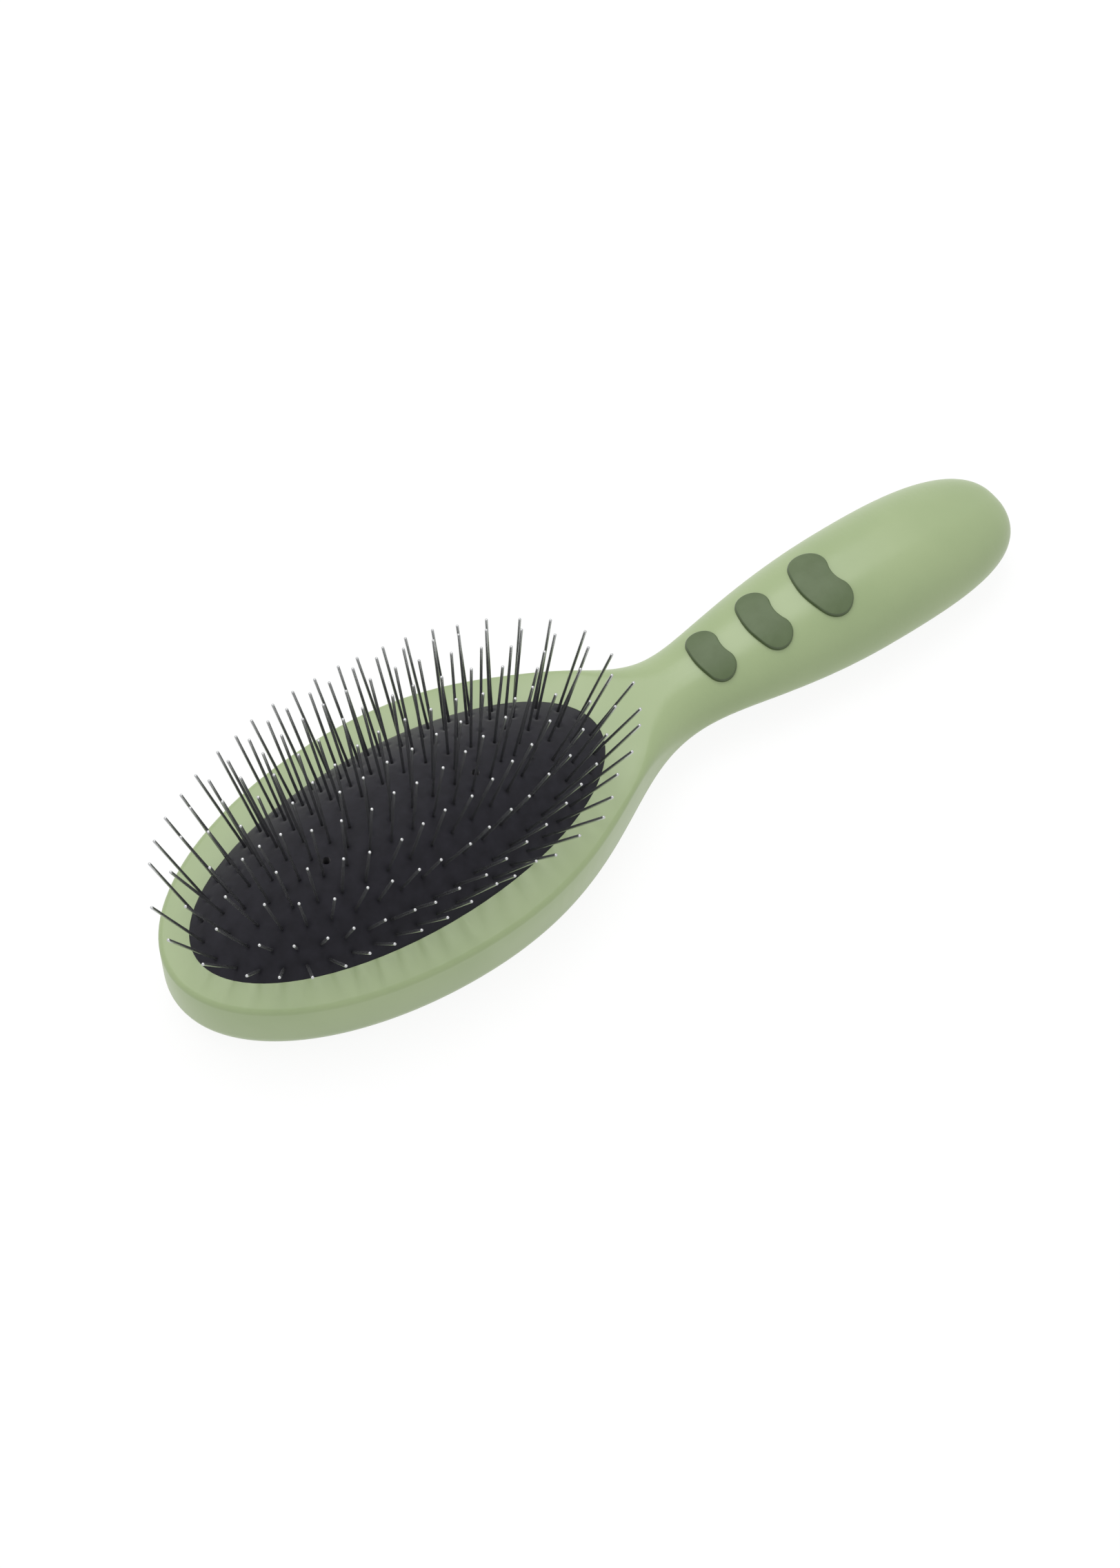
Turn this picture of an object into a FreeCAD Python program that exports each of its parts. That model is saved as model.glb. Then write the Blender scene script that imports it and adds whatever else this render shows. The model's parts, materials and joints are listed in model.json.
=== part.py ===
import FreeCAD, Part
import math
import os

# Pin brush for grooming a long coat: an oval head that carries a domed rubber
# air cushion full of steel pins, and a swelling handle with three thumb grips.
# Sizes are in millimetres. X runs along the brush with the handle towards +X,
# Y runs across it and Z is up, the way the pins point. The origin is on the
# flat back of the head, under the middle of the cushion.

# Head
head_thickness = 18.8
head_width = 65.2
head_nose_length = 61.3
head_widest_x = 1.9
rim_edge_radius = 1.3
back_edge_radius = 7.0
shoulder_lead = 39.7
shoulder_trail = 24.1
back_flat_trim = 10.0

# Neck
neck_x = 76.7
neck_width = 21.7
neck_thickness = 13.1
neck_top_drop = 0.9
neck_low_shift = 4.0
crease_end_x = 51.5

# Handle
swell_x = 132.7
handle_width = 33.5
handle_thickness = 21.2
handle_rise = 3.5
handle_crest_x = 131.1
handle_tail_length = 42.0
handle_tail_drop = 2.6
handle_end_squareness = 2.9
swell_lead = 11.8
swell_trail = 29.6
belly_drop = 0.4

# How far the top and the underside run on level before and after each bend
top_neck_ease = (10.0, 10.0)
top_crest_ease = (8.0, 18.8)
top_tail_ease = (22.8, 8.5)
low_neck_ease = (16.0, 14.0)
low_belly_ease = (14.0, 22.0)
round_ease = (9.0, 8.0)

# Share of the half width and of the thickness that the handle's corners take
top_corner_share = (0.88, 0.59)
low_corner_share = (0.80, 0.39)

# Oval recess in the head
opening_length = 105.6
opening_width = 47.2
lip_thickness = 1.6
groove_depth = 2.0
groove_height = 2.4
ledge_width = 1.4
floor_thickness = 4.0

# Rubber cushion
cushion_height = 10.9
cushion_wall = 1.6
cushion_gap = 0.1
vent_x = 19.5
vent_diameter = 1.8

# Steel pins
pin_diameter = 0.7
pin_length = 23.6
pin_tip_length = 0.3
pin_tip_diameter = 0.35
pin_foot_diameter = 1.5
pin_foot_height = 0.5
pin_foot_clearance = 0.2
pin_sides = 6
row_pin_x = (2.8, 8.2, 14.0, 30.0)
ring_half_lengths = (26.4, 34.2, 39.6, 44.6, 50.0)
ring_half_widths = (4.3, 9.5, 14.1, 18.4, 21.1)
ring_pin_counts = (20, 27, 33, 39, 46)
ring_pin_on_axis = (True, False, True, False, False)

# How far the pins lean outwards, as a share of the dome's own slope, and how
# much of the lean along the brush is added towards the two ends
splay_across = 0.72
splay_along = 0.46
splay_added_at_ends = 2.1

# Thumb grips, from the neck to the handle end
grip_names = ("grip_small", "grip_middle", "grip_large")
grip_x = (85.4, 100.5, 117.0)
grip_lengths = (14.6, 16.9, 19.1)
grip_widths = (7.7, 8.2, 9.5)
grip_bend_radius = 11.5
grip_rise = 0.9
grip_seat_depth = 1.2
grip_edge_radius = 0.5

V = FreeCAD.Vector

# Sizes that follow from the ones above
half_opening_x = opening_length / 2
half_opening_y = opening_width / 2
cushion_half_x = half_opening_x - cushion_gap
cushion_half_y = half_opening_y - cushion_gap
groove_top = head_thickness - lip_thickness
ledge_z = groove_top - groove_height
above_dome = head_thickness + cushion_height + 1
above_head = head_thickness + 5
dome_patch_margin = 1.02


def smooth_run(x, start, end, lead, trail):
    """Height at x of a curve that leaves its start level and reaches its end level."""
    if x <= start[0]:
        return start[1]
    if x >= end[0]:
        return end[1]
    across = (start[0], start[0] + lead, end[0] - trail, end[0])
    low, high = 0.0, 1.0
    for _ in range(40):
        t = (low + high) / 2
        s = 1 - t
        reached = s**3 * across[0] + 3 * s * s * t * across[1]
        reached += 3 * s * t * t * across[2] + t**3 * across[3]
        if reached < x:
            low = t
        else:
            high = t
    share = t * t * (3 - 2 * t)
    return start[1] + (end[1] - start[1]) * share


def half_width(x):
    """Half the width of the outline seen from above."""
    waist = (neck_x, neck_width / 2)
    if x <= head_widest_x:
        u = (head_widest_x - x) / head_nose_length
        return head_width / 2 * math.sqrt(1 - u * u)
    if x <= neck_x:
        widest = (head_widest_x, head_width / 2)
        return smooth_run(x, widest, waist, shoulder_lead, shoulder_trail)
    return smooth_run(x, waist, (swell_x, handle_width / 2), swell_lead, swell_trail)


def top_height(x):
    """Top line seen from the side: level rim, low neck, crest, falling tail."""
    rim_end = (half_opening_x, head_thickness)
    neck = (neck_x, head_thickness - neck_top_drop)
    crest = (handle_crest_x, head_thickness + handle_rise)
    tail = (swell_x + handle_tail_length, crest[1] - handle_tail_drop)
    if x <= neck_x:
        return smooth_run(x, rim_end, neck, *top_neck_ease)
    if x <= handle_crest_x:
        return smooth_run(x, neck, crest, *top_crest_ease)
    return smooth_run(x, crest, tail, *top_tail_ease)


def bottom_height(x):
    """Underside seen from the side: flat back, raised neck, belly that clears the table."""
    back_end = (half_opening_x - back_flat_trim, 0.0)
    neck = (neck_x + neck_low_shift, head_thickness - neck_top_drop - neck_thickness)
    belly = (swell_x, head_thickness + handle_rise - belly_drop - handle_thickness)
    if x <= neck[0]:
        return smooth_run(x, back_end, neck, *low_neck_ease)
    return smooth_run(x, neck, belly, *low_belly_ease)


def corner(flat_end, sharp, side_end):
    """A quarter of an ellipse between two flats that would meet at a sharp corner."""
    curve = Part.BezierCurve()
    curve.setPoles([flat_end, sharp, side_end])
    curve.setWeight(2, math.sqrt(0.5))
    return curve.toShape()


def section(x, scale=1.0):
    """Outline of the body cut across X, shrunk about its middle by scale."""
    w = half_width(x)
    top = top_height(x)
    bottom = bottom_height(x)
    middle = (top + bottom) / 2
    roundness = smooth_run(x, (crease_end_x, 0.0), (neck_x, 1.0), *round_ease)

    def blend(on_head, on_handle):
        return on_head + (on_handle - on_head) * roundness

    top_reach = blend(rim_edge_radius, top_corner_share[0] * w)
    top_fall = blend(rim_edge_radius, top_corner_share[1] * (top - bottom))
    low_reach = blend(back_edge_radius, low_corner_share[0] * w)
    low_climb = blend(back_edge_radius, low_corner_share[1] * (top - bottom))

    def at(y, z):
        return V(x, y * scale, middle + (z - middle) * scale)

    upper = [at(w - top_reach, top), at(w, top), at(w, top - top_fall)]
    lower = [at(w, bottom + low_climb), at(w, bottom), at(w - low_reach, bottom)]
    upper_left = [V(p.x, -p.y, p.z) for p in upper]
    lower_left = [V(p.x, -p.y, p.z) for p in lower]
    edges = [
        Part.makeLine(upper_left[0], upper[0]),
        corner(*upper),
        Part.makeLine(upper[2], lower[0]),
        corner(*lower),
        Part.makeLine(lower[2], lower_left[2]),
        corner(lower_left[2], lower_left[1], lower_left[0]),
        Part.makeLine(lower_left[0], upper_left[2]),
        corner(upper_left[2], upper_left[1], upper_left[0]),
    ]
    return Part.Wire(edges)


def spread(start, end, count):
    """Evenly spaced stations after start, up to end."""
    return [start + (end - start) * k / count for k in range(1, count + 1)]


def nose():
    """Front half of the head: half an oval with a soft rim edge and a rounder back edge."""
    oval = Part.Ellipse(V(0, 0, 0), head_nose_length, head_width / 2)
    front = Part.ArcOfEllipse(oval, math.pi / 2, 3 * math.pi / 2).toShape()
    chord = Part.makeLine(V(0, -head_width / 2, 0), V(0, head_width / 2, 0))
    plan = Part.Face(Part.Wire([front, chord]))
    plan.translate(V(head_widest_x, 0, 0))
    block = plan.extrude(V(0, 0, head_thickness))

    def curved_edges(solid, z):
        boxes = [(edge, edge.BoundBox) for edge in solid.Edges]
        return [e for e, b in boxes if b.XLength > 1 and abs(b.ZMin - z) + abs(b.ZMax - z) < 0.01]

    block = block.makeFillet(rim_edge_radius, curved_edges(block, head_thickness))
    return block.makeFillet(back_edge_radius, curved_edges(block, 0.0))


def body_outside():
    """Head, neck and handle as one closed solid, lofted through sections behind the nose."""
    stations = [head_widest_x - 16, head_widest_x - 8, head_widest_x]
    stations += spread(head_widest_x, crease_end_x, 6)
    stations += spread(crease_end_x, neck_x, 5)
    stations += spread(neck_x, swell_x, 6)
    sections = [section(x) for x in stations]
    for degrees in (20, 35, 50, 62, 72, 80, 85, 88):
        along = math.sin(math.radians(degrees))
        power = handle_end_squareness
        shrink = (1 - along**power) ** (1 / power)
        sections.append(section(swell_x + handle_tail_length * along, shrink))
    loft = Part.makeLoft(sections, True, False)
    behind = Part.makeBox(400, 200, 100, V(head_widest_x, -100, -40))
    return nose().fuse(loft.common(behind)).removeSplitter()


def oval_disc(half_x, half_y, bottom, top):
    """Upright oval block centred on the head."""
    face = Part.Face(Part.Wire([Part.Ellipse(V(0, 0, bottom), half_x, half_y).toShape()]))
    return face.extrude(V(0, 0, top - bottom))


def head_recess():
    """Mouth, bead groove and air chamber that are hollowed out of the head."""
    mouth = oval_disc(half_opening_x, half_opening_y, groove_top, above_head)
    groove = oval_disc(half_opening_x + groove_depth, half_opening_y + groove_depth, ledge_z, groove_top)
    chamber = oval_disc(half_opening_x - ledge_width, half_opening_y - ledge_width, floor_thickness, ledge_z)
    return mouth.fuse([groove, chamber])


def kidney(x, length, width):
    """Upright block over a grip: a slot bent round the handle end, wide on the neck side."""
    r = width / 2
    centre = V(x + grip_bend_radius, 0, 0)
    turn = math.asin((length / 2 - r) / grip_bend_radius)

    def on_arc(radius, angle):
        return centre + V(-radius * math.cos(angle), radius * math.sin(angle), 0)

    outer, inner = grip_bend_radius + r, grip_bend_radius - r
    ends = []
    for side in (1, -1):
        middle = on_arc(grip_bend_radius, side * turn)
        tip = middle + V(r * math.sin(turn), side * r * math.cos(turn), 0)
        start, stop = on_arc(outer, side * turn), on_arc(inner, side * turn)
        ends.append(Part.Arc(start, tip, stop).toShape())
    convex = Part.Arc(on_arc(outer, turn), on_arc(outer, 0), on_arc(outer, -turn)).toShape()
    hollow = Part.Arc(on_arc(inner, turn), on_arc(inner, 0), on_arc(inner, -turn)).toShape()
    face = Part.Face(Part.Wire(Part.__sortEdges__([convex, hollow] + ends)))
    face.translate(V(0, 0, head_thickness / 2))
    return face.extrude(V(0, 0, head_thickness))


def shifted(solid, dz):
    copy = solid.copy()
    copy.translate(V(0, 0, dz))
    return copy


def grip_pad(outside, x, length, width):
    """Rubber pad that follows the top of the handle and stands a little proud, with a soft edge."""
    block = kidney(x, length, width)
    pad = block.common(shifted(outside, grip_rise)).cut(shifted(outside, -grip_seat_depth))
    crown = max(pad.Faces, key=lambda face: face.CenterOfMass.z)
    return pad.makeFillet(grip_edge_radius, crown.Edges)


def grip_seat(outside, x, length, width):
    """Shallow seat in the handle for a grip pad."""
    return kidney(x, length, width).cut(shifted(outside, -grip_seat_depth))


def under_dome(half_x, half_y, height, lowered):
    """Everything under the cushion's dome, which is a parabola both along and across."""
    margin = dome_patch_margin
    edge = -(margin**2)
    lift = (edge, -edge, edge)
    surface = Part.BezierSurface()
    surface.increase(2, 2)
    for i in range(3):
        for j in range(3):
            x = (i - 1) * half_x * margin
            y = (j - 1) * half_y * margin
            z = head_thickness - lowered + height * (1 + lift[i] + lift[j])
            surface.setPole(i + 1, j + 1, V(x, y, z))
    return surface.toShape().extrude(V(0, 0, -3 * head_thickness))


def on_dome(x, y):
    """Point of the dome over (x, y), and how steeply the dome falls away there."""
    fall = cushion_height * ((x / cushion_half_x) ** 2 + (y / cushion_half_y) ** 2)
    slope = V(2 * x / cushion_half_x**2, 2 * y / cushion_half_y**2, 0) * cushion_height
    return V(x, y, head_thickness + cushion_height - fall), slope


def pin_axis(x, y):
    """Where a pin leaves the rubber, and its direction: less splayed than the dome."""
    foot, slope = on_dome(x, y)
    along = splay_along * (1 + splay_added_at_ends * (x / cushion_half_x) ** 2)
    direction = V(along * slope.x, splay_across * slope.y, 1)
    direction.normalize()
    return foot, direction


def faceted(rings):
    """Solid with flat faces between rings of corners, closed at both ends."""
    faces = [Part.Face(Part.makePolygon(end + end[:1])) for end in (rings[0], rings[-1])]
    for low, high in zip(rings, rings[1:]):
        for k in range(len(low)):
            j = (k + 1) % len(low)
            faces.append(Part.Face(Part.makePolygon([low[k], low[j], high[j], high[k], low[k]])))
    solid = Part.makeSolid(Part.makeShell(faces))
    if solid.Volume < 0:
        solid.reverse()
    return solid


def pin_rings(x, y):
    """The rings of corners that a pin is made of, from its foot up to the rubber."""
    base, direction = pin_axis(x, y)
    side = direction.cross(V(0, 1, 0)).normalize()
    other = direction.cross(side)
    inside = -cushion_wall / direction.z - pin_foot_clearance

    def ring(along, diameter):
        centre = base + direction * along
        corners = []
        for k in range(pin_sides):
            angle = 2 * math.pi * k / pin_sides
            spoke = side * math.cos(angle) + other * math.sin(angle)
            corners.append(centre + spoke * (diameter / 2))
        return corners

    return ring, [ring(inside - pin_foot_height, pin_foot_diameter), ring(inside, pin_diameter)]


def pin(x, y):
    """Straight slender pin with a blunt tip, and a flared foot inside the cushion."""
    ring, low = pin_rings(x, y)
    shoulder = ring(pin_length - pin_tip_length, pin_diameter)
    return faceted(low + [shoulder, ring(pin_length, pin_tip_diameter)])


def pin_hole(x, y):
    """What a pin takes out of the cushion's skin."""
    ring, low = pin_rings(x, y)
    return faceted(low + [ring(cushion_wall, pin_diameter)])


def ring_places(half_x, half_y, count, on_axis):
    """Places at equal steps round an oval, starting at its handle end."""
    steps = 720
    walked = [0.0]
    for i in range(steps):
        a, b = (2 * math.pi * k / steps for k in (i, i + 1))
        dx = half_x * (math.cos(b) - math.cos(a))
        dy = half_y * (math.sin(b) - math.sin(a))
        walked.append(walked[-1] + math.hypot(dx, dy))
    places = []
    i = 0
    for k in range(count):
        wanted = walked[-1] * (k + (0.0 if on_axis else 0.5)) / count
        while walked[i + 1] < wanted:
            i += 1
        share = (wanted - walked[i]) / (walked[i + 1] - walked[i])
        angle = 2 * math.pi * (i + share) / steps
        places.append((half_x * math.cos(angle), half_y * math.sin(angle)))
    return places


def cushion(places):
    """Domed rubber skin with a bead round its foot, vents and a hole for every pin."""
    bead_reach = groove_depth - cushion_gap
    dome = oval_disc(cushion_half_x, cushion_half_y, ledge_z, above_dome)
    dome = dome.common(under_dome(cushion_half_x, cushion_half_y, cushion_height, 0))
    bead = oval_disc(half_opening_x + bead_reach, half_opening_y + bead_reach, ledge_z, groove_top)
    air = oval_disc(cushion_half_x - cushion_wall, cushion_half_y - cushion_wall, ledge_z, above_dome)
    air = air.common(under_dome(cushion_half_x, cushion_half_y, cushion_height, cushion_wall))
    skin = dome.fuse(bead).cut(air)
    vents = []
    for x in (-vent_x, vent_x):
        vents.append(Part.makeCylinder(vent_diameter / 2, 3 * cushion_height, V(x, 0, head_thickness)))
    return skin.cut(vents + [pin_hole(x, y) for x, y in places])


def pin_places():
    """Places of the pins by node name: the middle row and the five ovals round it."""
    groups = {"pins_middle_row": [(side * x, 0.0) for x in row_pin_x for side in (-1, 1)]}
    ovals = zip(ring_half_lengths, ring_half_widths, ring_pin_counts, ring_pin_on_axis)
    for number, oval in enumerate(ovals, 1):
        groups[f"pins_ring_{number}"] = ring_places(*oval)
    return groups


def build():
    outside = body_outside()
    grips = list(zip(grip_names, grip_x, grip_lengths, grip_widths))
    parts = {}
    seats = [grip_seat(outside, *sizes) for _, *sizes in grips]
    parts["handle_body"] = outside.cut([head_recess()] + seats)
    for name, *sizes in grips:
        parts[name] = grip_pad(outside, *sizes)
    groups = pin_places()
    for name, places in groups.items():
        parts[name] = Part.makeCompound([pin(x, y) for x, y in places])
    parts["rubber_cushion"] = cushion([place for places in groups.values() for place in places])
    return parts


os.makedirs("parts", exist_ok=True)
for node, shape in build().items():
    shape.exportStep(f"parts/{node}.step")
    print(node, len(shape.Solids), round(shape.Volume / 1000, 3), shape.isValid())
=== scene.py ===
# %% [markdown]
# # A pin brush for long coats
# The object is a grooming brush. An oval head carries a domed rubber air
# cushion with six groups of straight steel pins, and a swelling handle has
# three soft grips for the thumb. The solids come from the CAD model, in metres
# and in their final place. The steps below give each piece its real finish,
# and model anew what the eye sees closely: the rubber skin and the pins.

# %% Load the model
import json
import math
import random

import bmesh
import bpy
from mathutils import Matrix, Vector
from mathutils.kdtree import KDTree

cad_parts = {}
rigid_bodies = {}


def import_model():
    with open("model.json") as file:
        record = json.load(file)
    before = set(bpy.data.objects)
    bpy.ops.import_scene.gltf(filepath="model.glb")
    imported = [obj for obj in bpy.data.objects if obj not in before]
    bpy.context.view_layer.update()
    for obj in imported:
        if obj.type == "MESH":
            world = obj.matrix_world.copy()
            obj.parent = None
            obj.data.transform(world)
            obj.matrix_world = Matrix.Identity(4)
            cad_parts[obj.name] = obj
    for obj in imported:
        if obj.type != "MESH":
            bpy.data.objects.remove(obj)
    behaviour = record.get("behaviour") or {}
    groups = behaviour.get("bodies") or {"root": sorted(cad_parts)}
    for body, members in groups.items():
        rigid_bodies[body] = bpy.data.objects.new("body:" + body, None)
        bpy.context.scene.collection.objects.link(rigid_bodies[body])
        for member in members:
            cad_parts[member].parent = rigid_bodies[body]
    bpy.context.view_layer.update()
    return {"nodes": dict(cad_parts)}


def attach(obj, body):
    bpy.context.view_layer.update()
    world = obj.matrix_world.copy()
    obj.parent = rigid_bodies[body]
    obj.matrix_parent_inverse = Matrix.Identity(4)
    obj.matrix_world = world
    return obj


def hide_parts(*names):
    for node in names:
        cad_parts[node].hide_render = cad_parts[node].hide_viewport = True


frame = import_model()

# %% [markdown]
# ## Sizes
# X runs along the brush towards the end of the handle, Y across it and Z up.
# These are the sizes of the head, the cushion and the pins that the new pieces
# need, in millimetres, and the rules that set out and lean the pins are the
# CAD model's own. Everything is turned to metres with the factor below.

# %% Sizes of the head, the cushion and the pins
MM = 0.001
head_thickness = 18.8
opening_half_length = 52.8
opening_half_width = 23.6
cushion_gap = 0.1
cushion_height = 10.9
cushion_half_length = opening_half_length - cushion_gap
cushion_half_width = opening_half_width - cushion_gap
pin_length = 23.6
row_pin_x = (2.8, 8.2, 14.0, 30.0)
ring_half_lengths = (26.4, 34.2, 39.6, 44.6, 50.0)
ring_half_widths = (4.3, 9.5, 14.1, 18.4, 21.1)
ring_pin_counts = (20, 27, 33, 39, 46)
ring_pin_on_axis = (True, False, True, False, False)
splay_across = 0.72
splay_along = 0.46
splay_added_at_ends = 2.1
vent_x = 19.5


def on_dome(x, y):
    """Point of the dome over (x, y), and how steeply it falls away there."""
    fall = (x / cushion_half_length) ** 2 + (y / cushion_half_width) ** 2
    steep_x = 2 * cushion_height * x / cushion_half_length**2
    steep_y = 2 * cushion_height * y / cushion_half_width**2
    height = head_thickness + cushion_height * (1 - fall)
    return Vector((x, y, height)), Vector((steep_x, steep_y, 0))


def pin_lean(x, y):
    """Direction of the pin that leaves the rubber over (x, y)."""
    steep = on_dome(x, y)[1]
    along = splay_along * (1 + splay_added_at_ends * (x / cushion_half_length) ** 2)
    return Vector((along * steep.x, splay_across * steep.y, 1)).normalized()


def ring_places(half_x, half_y, count, on_axis):
    """Places at equal steps round an oval, starting at its handle end."""
    steps = 720
    turn = 2 * math.pi / steps
    walked = [0.0]
    for i in range(steps):
        dx = half_x * (math.cos((i + 1) * turn) - math.cos(i * turn))
        dy = half_y * (math.sin((i + 1) * turn) - math.sin(i * turn))
        walked.append(walked[-1] + math.hypot(dx, dy))
    places = []
    i = 0
    for k in range(count):
        wanted = walked[-1] * (k + (0.0 if on_axis else 0.5)) / count
        while walked[i + 1] < wanted:
            i += 1
        angle = turn * (i + (wanted - walked[i]) / (walked[i + 1] - walked[i]))
        places.append((half_x * math.cos(angle), half_y * math.sin(angle)))
    return places


pin_places = {"pins_middle_row": [(side * x, 0.0) for x in row_pin_x for side in (-1, 1)]}
rings = zip(ring_half_lengths, ring_half_widths, ring_pin_counts, ring_pin_on_axis)
for number, ring in enumerate(rings, 1):
    pin_places[f"pins_ring_{number}"] = ring_places(*ring)
print("pins by group:", {name: len(places) for name, places in pin_places.items()})

# %% [markdown]
# ## Colours and nodes
# A colour is written as the sRGB hex value that a colour picker shows, and one
# function turns it to the linear values that the renderer works with. A second
# function adds a shader node, sets its own options and its sockets and links
# what feeds it, so each material below reads as a short list of steps. The
# last one makes a finished bmesh an object, which sits at the origin with its
# place in its mesh, as the CAD pieces do.


# %% Colour and node helpers
def colour(hex_value):
    """Linear RGBA of an sRGB hex colour."""
    channels = [int(hex_value[i : i + 2], 16) / 255 for i in (1, 3, 5)]
    linear = [c / 12.92 if c <= 0.04045 else ((c + 0.055) / 1.055) ** 2.4 for c in channels]
    return (*linear, 1.0)


def add(tree, kind, sockets=None, **options):
    """Adds a node to a tree; a socket gets a value, or a link where an output is given."""
    made = tree.nodes.new(kind)
    for name, value in options.items():
        setattr(made, name, value)
    for name, value in (sockets or {}).items():
        if isinstance(value, bpy.types.NodeSocket):
            tree.links.new(value, made.inputs[name])
        else:
            made.inputs[name].default_value = value
    return made


def new_material(name):
    """An empty material with its output node."""
    material = bpy.data.materials.new(name)
    material.use_nodes = True
    material.node_tree.nodes.clear()
    output = add(material.node_tree, "ShaderNodeOutputMaterial")
    return material, material.node_tree, output


def ramp(tree, factor, *stops):
    """A colour ramp fed by factor, between two (place, colour) stops."""
    made = add(tree, "ShaderNodeValToRGB", {"Fac": factor})
    for point, (place, value) in zip(made.color_ramp.elements, stops):
        point.position = place
        point.color = value
    return made.outputs["Color"]


def wear(piece, *materials):
    """Gives a piece its materials in place of any it has."""
    piece.data.materials.clear()
    for material in materials:
        piece.data.materials.append(material)


def object_from(bm, name, *materials):
    """Makes a finished bmesh an object of the scene."""
    mesh = bpy.data.meshes.new(name)
    bm.to_mesh(mesh)
    bm.free()
    made = bpy.data.objects.new(name, mesh)
    bpy.context.scene.collection.objects.link(made)
    wear(made, *materials)
    return made


print("helpers ready")

# %% [markdown]
# ## The moulded plastic
# The body is one injection moulding in soft green plastic. The mould is finely
# blasted, so the plastic is satin, without sharp reflections. To the eye that
# gives broad soft highlights, a grain that is only just there and a colour
# that drifts very slightly, because the pigment never mixes quite evenly. The
# real grain is finer than the render can show, so it is drawn a third of a
# millimetre wide.

# %% Satin moulded plastic
grain_mm = 0.35
grain_depth_mm = 0.05
drift_mm = 22.0

plastic, tree, output = new_material("moulded_polypropylene_satin_green")
place = add(tree, "ShaderNodeTexCoord").outputs["Object"]
drift = add(tree, "ShaderNodeTexNoise", {"Vector": place, "Scale": 1000 / drift_mm, "Detail": 3.0})
tint = ramp(tree, drift.outputs["Fac"], (0.3, colour("#9cae80")), (0.7, colour("#a3b486")))
grain = add(tree, "ShaderNodeTexNoise", {"Vector": place, "Scale": 1000 / grain_mm, "Detail": 2.0})
bump = add(
    tree,
    "ShaderNodeBump",
    {"Height": grain.outputs["Fac"], "Strength": 0.12, "Distance": grain_depth_mm * MM},
)
gloss = add(
    tree, "ShaderNodeMapRange", {"Value": drift.outputs["Fac"], "To Min": 0.3, "To Max": 0.36}
)
shader = add(
    tree,
    "ShaderNodeBsdfPrincipled",
    {
        "Base Color": tint,
        "Roughness": gloss.outputs["Result"],
        "IOR": 1.49,
        "Normal": bump.outputs["Normal"],
    },
)
tree.links.new(shader.outputs["BSDF"], output.inputs["Surface"])
print("plastic grain", grain_mm, "mm, colour drift", drift_mm, "mm")

# %% [markdown]
# ## The grip rubber
# The three pads are soft rubber, moulded into seats in the handle. Their green
# is darker than the body's, and rubber scatters light at a wider angle than
# the plastic, so they look duller, with a faint bloom. The grain of the mould
# is drawn coarser than it is, so that it shows. The sides of the pads leave
# the mould smooth and take no bloom, so they are slightly shiny. Their darker
# green is painted shade for the walls that turn away from the light, and they
# are a second material.

# %% Soft grip rubber
rubber_grain_mm = 0.5
rubber_grain_depth_mm = 0.05
bloom_mm = 4.0

grip_rubber, tree, output = new_material("moulded_soft_rubber_dark_green")
place = add(tree, "ShaderNodeTexCoord").outputs["Object"]
bloom = add(tree, "ShaderNodeTexNoise", {"Vector": place, "Scale": 1000 / bloom_mm, "Detail": 4.0})
tint = ramp(tree, bloom.outputs["Fac"], (0.3, colour("#566644")), (0.75, colour("#5f6f4e")))
grain = add(tree, "ShaderNodeTexNoise", {"Vector": place, "Scale": 1000 / rubber_grain_mm})
bump = add(
    tree,
    "ShaderNodeBump",
    {"Height": grain.outputs["Fac"], "Strength": 0.15, "Distance": rubber_grain_depth_mm * MM},
)
shader = add(
    tree,
    "ShaderNodeBsdfPrincipled",
    {
        "Base Color": tint,
        "Roughness": 0.5,
        "IOR": 1.52,
        "Specular IOR Level": 0.35,
        "Normal": bump.outputs["Normal"],
    },
)
tree.links.new(shader.outputs["BSDF"], output.inputs["Surface"])

# the sides: the same rubber, smoother and glossier, in a darker green that is painted shade
grip_side_painted_shade, tree, output = new_material("soft_rubber_glossy_side_painted_shade")
place = add(tree, "ShaderNodeTexCoord").outputs["Object"]
bloom = add(tree, "ShaderNodeTexNoise", {"Vector": place, "Scale": 1000 / bloom_mm, "Detail": 4.0})
tint = ramp(tree, bloom.outputs["Fac"], (0.3, colour("#435332")), (0.75, colour("#4b5b3a")))
shader = add(tree, "ShaderNodeBsdfPrincipled", {"Base Color": tint, "Roughness": 0.28, "IOR": 1.52})
tree.links.new(shader.outputs["BSDF"], output.inputs["Surface"])
print("grip rubber bloom", bloom_mm, "mm")

# %% [markdown]
# ## The body and the grips
# The CAD model already has the right shapes, so no new mesh is needed. Its
# meshes are loose triangles, so a copy is welded, shaded smooth and given
# sharp edges only where two faces meet at a real corner. That keeps long
# highlights whole along the handle. On a grip, the faces that look nearly
# straight up are its dull crown, and all others its glossy side, whose darker
# green is painted shade.


# %% Welded copies of the body and the grips
weld_gap = 0.001 * MM
sharp_corner = math.radians(28)
crown_share = 0.8


def welded(node, name, *materials):
    """A smooth welded copy of a CAD node that stands for it."""
    bm = bmesh.new()
    bm.from_mesh(frame["nodes"][node].data)
    bmesh.ops.remove_doubles(bm, verts=bm.verts, dist=weld_gap)
    for face in bm.faces:
        face.smooth = True
    for edge in bm.edges:
        edge.smooth = edge.calc_face_angle(0.0) < sharp_corner
    piece = object_from(bm, name, *materials)
    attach(piece, "root")
    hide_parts(node)
    return piece


body = welded("handle_body", "moulded_body", plastic)
for size in ("small", "middle", "large"):
    grip = welded(f"grip_{size}", f"thumb_grip_{size}", grip_rubber, grip_side_painted_shade)
    # faces that don't look up get the darker side material, which is painted shade
    for face in grip.data.polygons:
        face.material_index = 0 if face.normal.z > crown_share else 1
print("body:", len(body.data.vertices), "points,", len(body.data.polygons), "faces")

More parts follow.
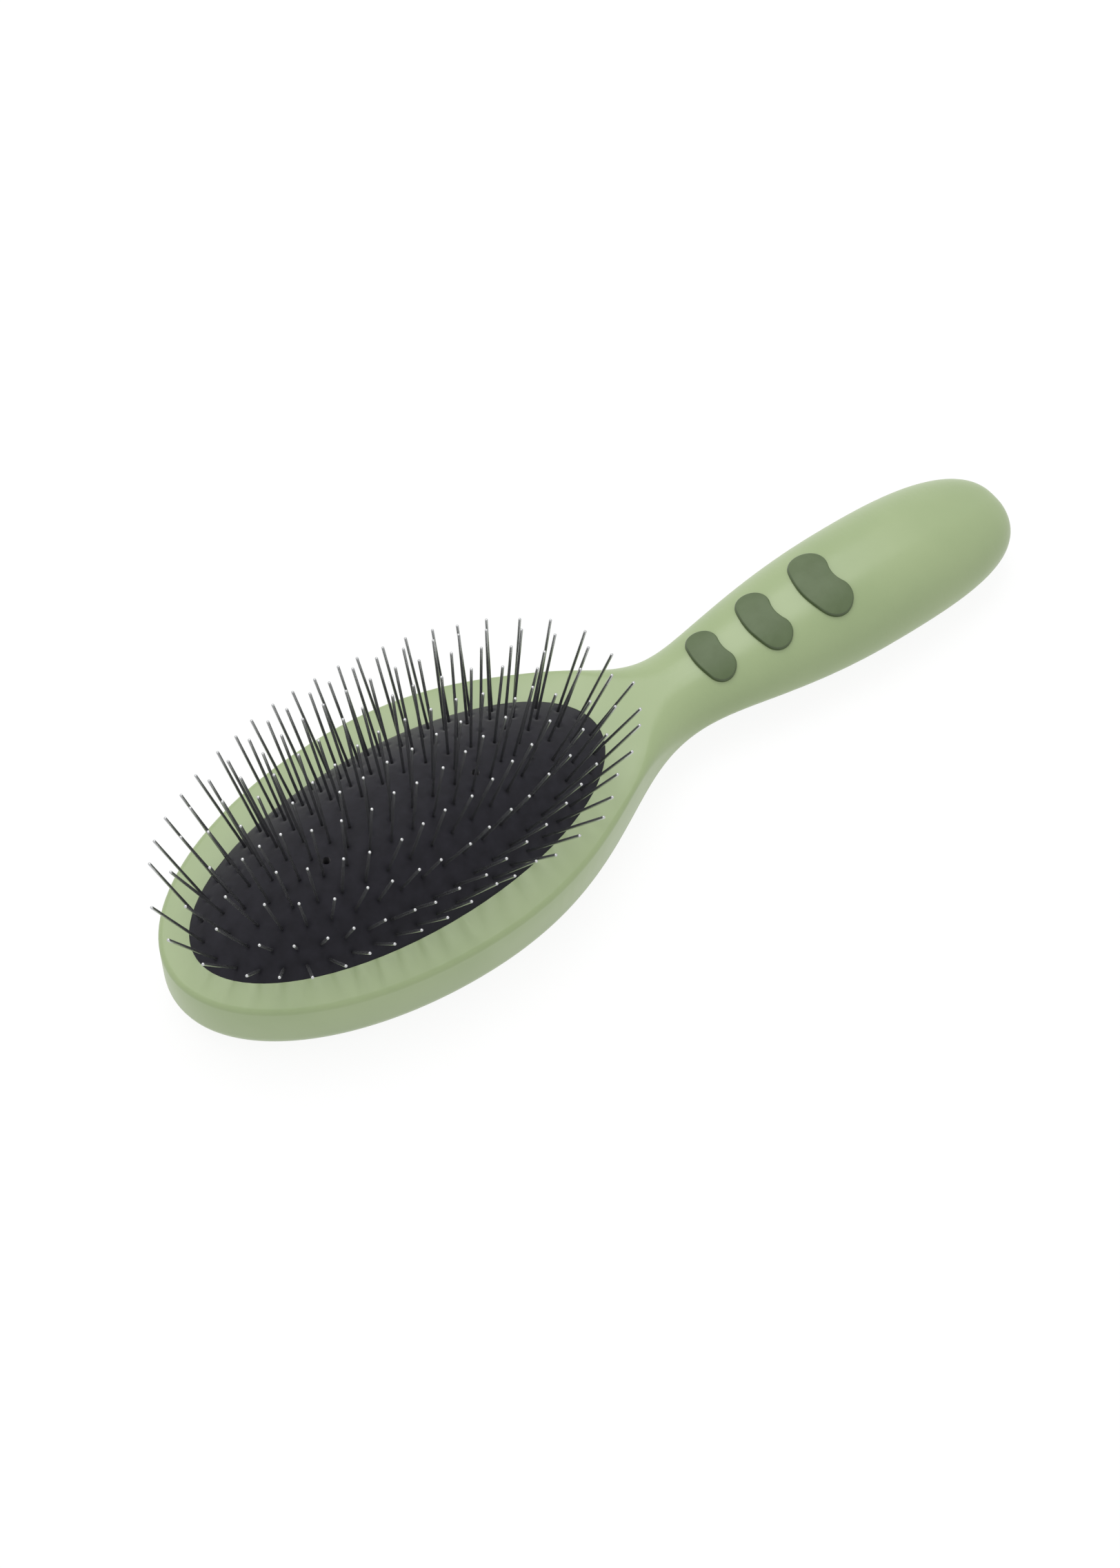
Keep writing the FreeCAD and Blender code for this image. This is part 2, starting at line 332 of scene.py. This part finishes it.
# %% [markdown]
# ## The cushion rubber
# The cushion is a sheet of black natural rubber, vulcanised in a dull mould.
# It reflects little and evenly, so it looks like a near-black with a trace of
# blue. The talc that keeps it from sticking in the mould leaves a fine dust,
# and dust shows most where the rubber turns away from the eye, which is what
# the sheen of the shader gives. Its specks are drawn coarser than they are, so
# that they show.

# %% Dull black rubber
talc_mm = 3.0
speck_mm = 0.6
speck_depth_mm = 0.08

cushion_rubber, tree, output = new_material("vulcanised_rubber_dull_black")
place = add(tree, "ShaderNodeTexCoord").outputs["Object"]
talc = add(tree, "ShaderNodeTexNoise", {"Vector": place, "Scale": 1000 / talc_mm, "Detail": 5.0})
tint = ramp(tree, talc.outputs["Fac"], (0.3, colour("#17161d")), (0.75, colour("#23222a")))
speck = add(tree, "ShaderNodeTexNoise", {"Vector": place, "Scale": 1000 / speck_mm, "Detail": 2.0})
bump = add(
    tree,
    "ShaderNodeBump",
    {"Height": speck.outputs["Fac"], "Strength": 0.2, "Distance": speck_depth_mm * MM},
)
shader = add(
    tree,
    "ShaderNodeBsdfPrincipled",
    {
        "Base Color": tint,
        "Roughness": 0.62,
        "IOR": 1.52,
        "Specular IOR Level": 0.18,
        "Sheen Weight": 0.58,
        "Sheen Roughness": 0.4,
        "Normal": bump.outputs["Normal"],
    },
)
tree.links.new(shader.outputs["BSDF"], output.inputs["Surface"])
print("talc clouds", talc_mm, "mm, specks", speck_mm, "mm")

# %% [markdown]
# ## The dome of the cushion
# The cushion is one moulded sheet of rubber over an air chamber. A flattened
# ball would give a dome, but its faces crowd together at the poles. So a grid
# is bent into an oval and lifted into the dome, with even faces all over.
# Where a pin comes out, the rubber is drawn in round the wire, so every pin
# stands in a small dimple, and the fine grid keeps those dimples round.

# %% Grid bent into the dome, with a dimple at every pin
cells_along = 210
cells_across = 96
dimple_radius = 1.25
dimple_depth = 0.45

bm = bmesh.new()
bmesh.ops.create_grid(bm, x_segments=cells_along, y_segments=cells_across, size=1.0)
for point in bm.verts:
    across, along = point.co.y, point.co.x
    x = cushion_half_length * along * math.sqrt(1 - across * across / 2)
    y = cushion_half_width * across * math.sqrt(1 - along * along / 2)
    point.co = on_dome(x, y)[0]

finder = KDTree(len(bm.verts))
bm.verts.ensure_lookup_table()
for point in bm.verts:
    finder.insert((point.co.x, point.co.y, 0), point.index)
finder.balance()
for places in pin_places.values():
    for x, y in places:
        for _, index, distance in finder.find_range((x, y, 0), dimple_radius):
            share = 0.5 + 0.5 * math.cos(math.pi * distance / dimple_radius)
            bm.verts[index].co.z -= dimple_depth * share
print("cushion grid:", len(bm.faces), "cells")

# %% [markdown]
# ## The vents and the edge of the cushion
# Two vents let the air out when the cushion gives. A boolean cut would leave
# ragged faces in so fine a grid. Instead a patch of the grid is taken out for
# each vent, a small ring is bridged in, and the ring is drawn down into a
# short black bore. The border of the grid is pulled down behind the lip of the
# head, and one face closes the skin below.

# %% Vents, edge and finish of the cushion
skirt_depth = 3.0
vent_radius = 0.9
vent_patch = 1.5
vent_search = 3.0
vent_depth = 2.5
vent_corners = 24
skin_corner = math.radians(60)

outer_border = [edge for edge in bm.edges if edge.is_boundary]
for side in (-1, 1):
    centre = Vector((side * vent_x, 0))
    patch = [point for point in bm.verts if (point.co.xy - centre).length < vent_patch]
    bmesh.ops.delete(bm, geom=patch, context="VERTS")
    rim = [
        edge
        for edge in bm.edges
        if edge.is_boundary and (edge.verts[0].co.xy - centre).length < vent_search
    ]
    circle = bmesh.ops.create_circle(
        bm, segments=vent_corners, radius=vent_radius, matrix=Matrix.Translation((*centre, 0))
    )["verts"]
    for point in circle:
        point.co.z = on_dome(point.co.x, point.co.y)[0].z
    ring = list({edge for point in circle for edge in point.link_edges})
    bmesh.ops.bridge_loops(bm, edges=rim + ring)
    bore = bmesh.ops.extrude_edge_only(bm, edges=ring)["geom"]
    deep = [item for item in bore if isinstance(item, bmesh.types.BMVert)]
    bottom = [item for item in bore if isinstance(item, bmesh.types.BMEdge)]
    bmesh.ops.translate(bm, vec=(0, 0, -vent_depth), verts=deep)
    bmesh.ops.edgeloop_fill(bm, edges=bottom)

border = [edge for edge in outer_border if edge.is_valid]
skirt = bmesh.ops.extrude_edge_only(bm, edges=border)["geom"]
for point in [item for item in skirt if isinstance(item, bmesh.types.BMVert)]:
    point.co.z = head_thickness - skirt_depth
bmesh.ops.edgeloop_fill(bm, edges=[edge for edge in bm.edges if edge.is_boundary])
bmesh.ops.recalc_face_normals(bm, faces=bm.faces)
bmesh.ops.scale(bm, vec=(MM, MM, MM), verts=bm.verts)
for face in bm.faces:
    face.smooth = True
for edge in bm.edges:
    edge.smooth = edge.calc_face_angle(0.0) < skin_corner
cushion = object_from(bm, "domed_cushion", cushion_rubber)
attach(cushion, "root")
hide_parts("rubber_cushion")
print("cushion:", len(cushion.data.polygons), "faces")

# %% [markdown]
# ## The pin wire
# The pins are cut from drawn steel wire. The shank mirrors the black rubber,
# so it looks dark, and a thin grey film from the drawing stays on it, which
# is why it isn't quite metallic here. The marks of the drawing are too fine to
# show, so they are drawn 0.2 mm wide. The tip is ground round and polished, so
# each pin ends in a bright point of light. It is rougher here than a real
# polish, which spreads that point wide enough to be seen.

# %% Drawn steel wire and its polished tip
draw_mark_mm = 0.2

wire_steel, tree, output = new_material("drawn_steel_wire_dark")
place = add(tree, "ShaderNodeTexCoord").outputs["Object"]
marks = add(
    tree, "ShaderNodeTexNoise", {"Vector": place, "Scale": 1000 / draw_mark_mm, "Detail": 2.0}
)
tint = ramp(tree, marks.outputs["Fac"], (0.3, colour("#b6b7b8")), (0.7, colour("#c9cacb")))
rough = add(
    tree, "ShaderNodeMapRange", {"Value": marks.outputs["Fac"], "To Min": 0.17, "To Max": 0.23}
)
shader = add(
    tree,
    "ShaderNodeBsdfPrincipled",
    {"Base Color": tint, "Metallic": 0.87, "Roughness": rough.outputs["Result"]},
)
tree.links.new(shader.outputs["BSDF"], output.inputs["Surface"])

tip_steel, tree, output = new_material("polished_steel_tip")
place = add(tree, "ShaderNodeTexCoord").outputs["Object"]
marks = add(tree, "ShaderNodeTexNoise", {"Vector": place, "Scale": 1000 / draw_mark_mm})
tint = ramp(tree, marks.outputs["Fac"], (0.3, colour("#9a9b9e")), (0.7, colour("#a8a9ac")))
shader = add(
    tree, "ShaderNodeBsdfPrincipled", {"Base Color": tint, "Metallic": 1.0, "Roughness": 0.38}
)
tree.links.new(shader.outputs["BSDF"], output.inputs["Surface"])
print("draw marks", draw_mark_mm, "mm")

# %% [markdown]
# ## One pin
# A pin is a straight piece of wire. It could be a curve with a round bevel,
# but its rounded tip would then need a shape of its own. So it is a slim bar
# whose upper edge is bevelled, and a cut round it parts the dark shank from
# the polished tip. It has only a few dozen faces, because 173 copies of it are
# set into the cushion. Its foot stays flat-shaded, since a smooth one would
# bend the shading of the whole long shank.

# %% One slim pin with a rounded tip
pin_sides = 10
pin_radius = 0.34
pin_sunk = 2.0
tip_round = 0.24
tip_steps = 3
tip_zone = 0.55
height_slack = 0.01

bm = bmesh.new()
whole = pin_length + pin_sunk
bmesh.ops.create_cone(
    bm, cap_ends=True, segments=pin_sides, radius1=pin_radius, radius2=pin_radius, depth=whole
)
bmesh.ops.translate(bm, vec=(0, 0, whole / 2 - pin_sunk), verts=bm.verts)
near_top = pin_length - height_slack
upper = [edge for edge in bm.edges if all(point.co.z > near_top for point in edge.verts)]
bmesh.ops.bevel(
    bm, geom=upper, offset=tip_round, segments=tip_steps, profile=0.5, affect="EDGES", material=-1
)
bmesh.ops.bisect_plane(
    bm,
    geom=bm.verts[:] + bm.edges[:] + bm.faces[:],
    plane_co=(0, 0, pin_length - tip_zone),
    plane_no=(0, 0, 1),
)
for face in bm.faces:
    height = face.calc_center_median().z
    face.smooth = height > height_slack - pin_sunk
    face.material_index = 1 if height > pin_length - tip_zone else 0
pin_mesh = bpy.data.meshes.new("one_pin")
bm.to_mesh(pin_mesh)
bm.free()
print("one pin has", len(pin_mesh.polygons), "faces")

# %% [markdown]
# ## The groups of pins
# Each pin leans outwards a little less than the dome falls away. No brush is
# perfectly even, so each also gets a small lean of its own, drawn by chance,
# and in six places the two outer ovals have been pushed aside by use. Every
# oval is one mesh of many copies, because it stands for one CAD node.

# %% Every group of pins
# each place: its oval, its middle and width in mm, and the push on a pin's direction
pushed = (
    ("pins_ring_5", (-37.0, -14.5), 11.0, (-0.02, -0.18)),
    ("pins_ring_5", (0.0, -21.0), 10.0, (0.10, 0.085)),
    ("pins_ring_5", (25.0, -18.0), 7.0, (0.15, -0.11)),
    ("pins_ring_5", (49.0, -1.0), 9.5, (-0.20, -0.15)),
    ("pins_ring_5", (-47.5, 6.5), 6.5, (0.12, 0.10)),
    ("pins_ring_4", (-36.0, -11.0), 7.0, (-0.03, -0.12)),
)
uneven = 0.015
seed = 7
chance = random.Random(seed)


def used_lean(group, x, y):
    """Direction of a pin that is a little uneven, and pushed aside where the brush was used."""
    lean = pin_lean(x, y) + Vector((chance.gauss(0, uneven), chance.gauss(0, uneven), 0))
    for pushed_group, middle, width, push in pushed:
        if pushed_group == group:
            near = math.exp(-(((x - middle[0]) ** 2 + (y - middle[1]) ** 2) / width**2))
            lean += Vector((*push, 0)) * near
    return lean.normalized()


for group, places in pin_places.items():
    bm = bmesh.new()
    for x, y in places:
        foot = on_dome(x, y)[0]
        lean = used_lean(group, x, y)
        turned = lean.to_track_quat("Z", "Y").to_matrix().to_4x4()
        known = len(bm.verts)
        bm.from_mesh(pin_mesh)
        bm.verts.ensure_lookup_table()
        bmesh.ops.transform(bm, matrix=Matrix.Translation(foot) @ turned, verts=bm.verts[known:])
    bmesh.ops.scale(bm, vec=(MM, MM, MM), verts=bm.verts)
    piece = object_from(bm, f"wire_{group}", wire_steel, tip_steel)
    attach(piece, "root")
    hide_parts(group)
    print(piece.name, len(piece.data.polygons), "faces")

# %% [markdown]
# ## The floor
# The brush lies on its back on a sheet of white card, as in a product
# photograph. Card is pressed wood fibre, dull and almost without a tint, and
# its fibres are drawn as faint clouds, because they are too fine to show. The
# card is lit almost to white, and its own glow for the camera takes the last
# of the grey out of it while the soft shadow stays.

# %% White card
card_glow = 1.05
card_glow_share = 0.85
fibre_mm = 10 / 3
floor_half = 3.0
floor_cells = 8
floor_drop = 0.1 * MM


def seen_directly(tree):
    """One where the camera sees a surface itself, in a reflection or through glass."""
    sight = add(tree, "ShaderNodeLightPath").outputs
    seen = sight["Is Camera Ray"]
    for ray in ("Is Glossy Ray", "Is Transmission Ray"):
        larger = add(tree, "ShaderNodeMath", {0: seen, 1: sight[ray]}, operation="MAXIMUM")
        seen = larger.outputs["Value"]
    return seen


card, tree, output = new_material("white_card_matt")
place = add(tree, "ShaderNodeTexCoord").outputs["Object"]
fibre = add(tree, "ShaderNodeTexNoise", {"Vector": place, "Scale": 1000 / fibre_mm})
tint = ramp(tree, fibre.outputs["Fac"], (0.0, colour("#f4f4f4")), (1.0, colour("#f8f8f8")))
shader = add(tree, "ShaderNodeBsdfPrincipled", {"Base Color": tint, "Roughness": 0.9})
white = add(tree, "ShaderNodeEmission", {"Color": (1, 1, 1, 1), "Strength": card_glow})
share = add(
    tree, "ShaderNodeMath", {0: seen_directly(tree), 1: card_glow_share}, operation="MULTIPLY"
)
both = add(
    tree,
    "ShaderNodeMixShader",
    {0: share.outputs["Value"], 1: shader.outputs["BSDF"], 2: white.outputs["Emission"]},
)
tree.links.new(both.outputs["Shader"], output.inputs["Surface"])

bm = bmesh.new()
bmesh.ops.create_grid(bm, x_segments=floor_cells, y_segments=floor_cells, size=floor_half)
bmesh.ops.translate(bm, vec=(0, 0, -floor_drop), verts=bm.verts)
floor = object_from(bm, "white_card", card)
print("card", 2 * floor_half, "m wide")

# %% [markdown]
# ## The light
# A product photograph is lit softly from many sides. Here an even glow comes
# from all round, and one large soft light hangs behind the brush, so that the
# tops are light and the near sides fall into a soft shade. A smaller one
# stands where the flat rim mirrors it, and gives the plastic its sheen. Sizes
# and distances of the lights are in metres.

# %% Even surroundings and two soft lights
world_light = 0.65
world_seen = 1.0

world = bpy.data.worlds.new("even_surroundings")
bpy.context.scene.world = world
world.use_nodes = True
tree = world.node_tree
tree.nodes.clear()
level = add(
    tree,
    "ShaderNodeMapRange",
    {"Value": seen_directly(tree), "To Min": world_light, "To Max": world_seen},
)
glow = add(
    tree, "ShaderNodeBackground", {"Color": (1, 1, 1, 1), "Strength": level.outputs["Result"]}
)
add(tree, "ShaderNodeOutputWorld", {"Surface": glow.outputs["Background"]})

aim = Vector((0.055, 0.0, 0.015))
reach = 1.1


def soft_light(name, size, energy, towards):
    """A round area light that shines at the brush from the given direction."""
    lamp = bpy.data.lights.new(name, "AREA")
    lamp.shape = "DISK"
    lamp.size = size
    lamp.energy = energy
    lamp_object = bpy.data.objects.new(name, lamp)
    lamp_object.location = aim + Vector(towards).normalized() * reach
    lamp_object.rotation_euler = (aim - lamp_object.location).to_track_quat("-Z", "Y").to_euler()
    bpy.context.scene.collection.objects.link(lamp_object)
    print(name, size, "m across,", energy, "W")


soft_light("large_soft_light", 1.0, 4.2, (0.0, 0.40, 0.88))
soft_light("small_sheen_light", 0.6, 1.5, (0.33, 0.40, 0.854))

# %% [markdown]
# ## Camera
# The photograph looks down steeply over the near side of the head, with the
# handle running away to the upper right. The camera stands at that place and
# has the same lens, so every piece falls where it does in the photograph. Its
# distance and its two offsets are in millimetres.

# %% Camera
azimuth = math.radians(-39.51)
elevation = math.radians(58.67)
roll = math.radians(4.14)
distance = 576.0
aside = 34.66
above = 11.80
back = Vector(
    (
        math.sin(azimuth) * math.cos(elevation),
        -math.cos(azimuth) * math.cos(elevation),
        math.sin(elevation),
    )
)
level_right = Vector((math.cos(azimuth), math.sin(azimuth), 0))
level_up = back.cross(level_right)
right = level_right * math.cos(roll) + level_up * math.sin(roll)
up = level_up * math.cos(roll) - level_right * math.sin(roll)
camera_data = bpy.data.cameras.new("camera")
camera_data.sensor_fit = "AUTO"
camera_data.sensor_width = 36.0
camera_data.lens = 60.16
camera_data.clip_start = 0.01
camera = bpy.data.objects.new("camera", camera_data)
spot = (Vector((0, 0, head_thickness)) + distance * back + aside * right + above * up) * MM
axes = Matrix((right, up, back)).transposed().to_4x4()
camera.matrix_world = Matrix.Translation(spot) @ axes
bpy.context.scene.collection.objects.link(camera)
bpy.context.scene.camera = camera
bpy.context.scene.view_settings.view_transform = "Standard"
print("camera at", [round(c * 1000) for c in spot], "mm")
